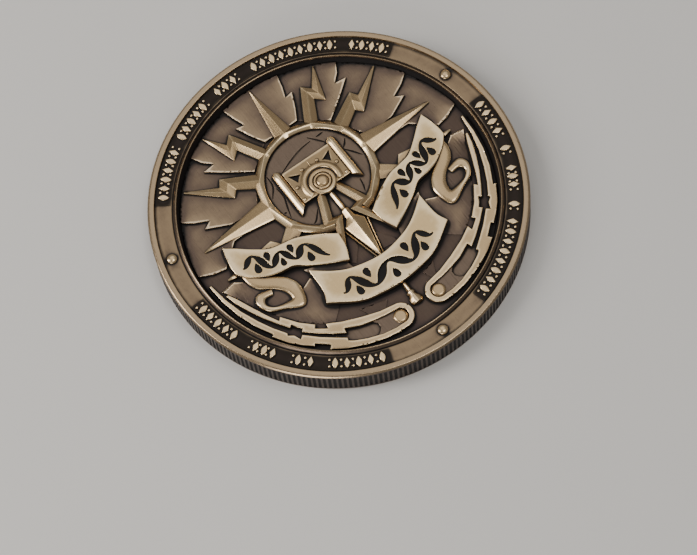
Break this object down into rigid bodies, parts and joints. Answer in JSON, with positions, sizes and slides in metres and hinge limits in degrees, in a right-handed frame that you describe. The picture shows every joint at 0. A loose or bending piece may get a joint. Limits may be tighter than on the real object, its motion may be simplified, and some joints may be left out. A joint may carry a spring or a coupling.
{
  "type": "challenge coin",
  "caption": "Round two-sided commemorative coin in antique bronze with a reeded edge, a raised rim and applied sunburst and ribbon relief on a recessed field.",
  "frame": {"origin": "centre of the reverse rim, on the surface the coin lies on", "axes": "+Z out of the face along the coin's axis, +Y towards the top of the design, +X to the design's right"},
  "size_m": [0.0444, 0.0444, 0.0035],
  "materials": {
    "rim": "antique bronze, worn bright on the high edges",
    "field": "antique bronze, brushed",
    "relief": "antique bronze, polished tops with dark recesses",
    "ground": "blackened bronze",
    "enamel": "black enamel fill"
  },
  "bodies": {
    "root": {"rim_ring": "rim", "core_disc": "field", "field_plate_north": "field", "field_plate_upper_left": "field", "field_plate_upper_right": "field", "field_plate_middle_left": "field", "field_plate_middle_right": "field", "field_plate_side_left": "field", "field_plate_side_right": "field", "field_plate_lower_left": "field", "field_plate_lower_right": "field", "rim_stud_left": "relief", "rim_stud_right": "relief", "rim_stud_bottom": "relief", "legend_strip_top": "relief", "legend_strip_right": "relief", "legend_strip_left": "relief", "sun_wheel": "relief", "centre_block": "relief", "block_bar_left": "relief", "block_bar_right": "relief", "boss_collar": "relief", "boss": "relief", "dart_left": "relief", "dart_right": "relief", "pointer": "relief", "finial": "relief", "ribbon_left": "relief", "ribbon_right": "relief", "ribbon_lower": "relief", "ribbon_tail_left": "relief", "ribbon_tail_right": "relief", "crescent_left": "relief", "crescent_right": "relief", "crescent_pad_left": "relief", "crescent_pad_right": "relief", "reverse_ring": "relief", "reverse_star": "relief", "hub_plate": "ground", "crescent_floor_left": "ground", "crescent_floor_right": "ground", "ribbon_fold_left": "ground", "ribbon_fold_right": "ground", "enamel_left": "enamel", "enamel_right": "enamel", "enamel_lower": "enamel"}
  },
  "joints": []
}
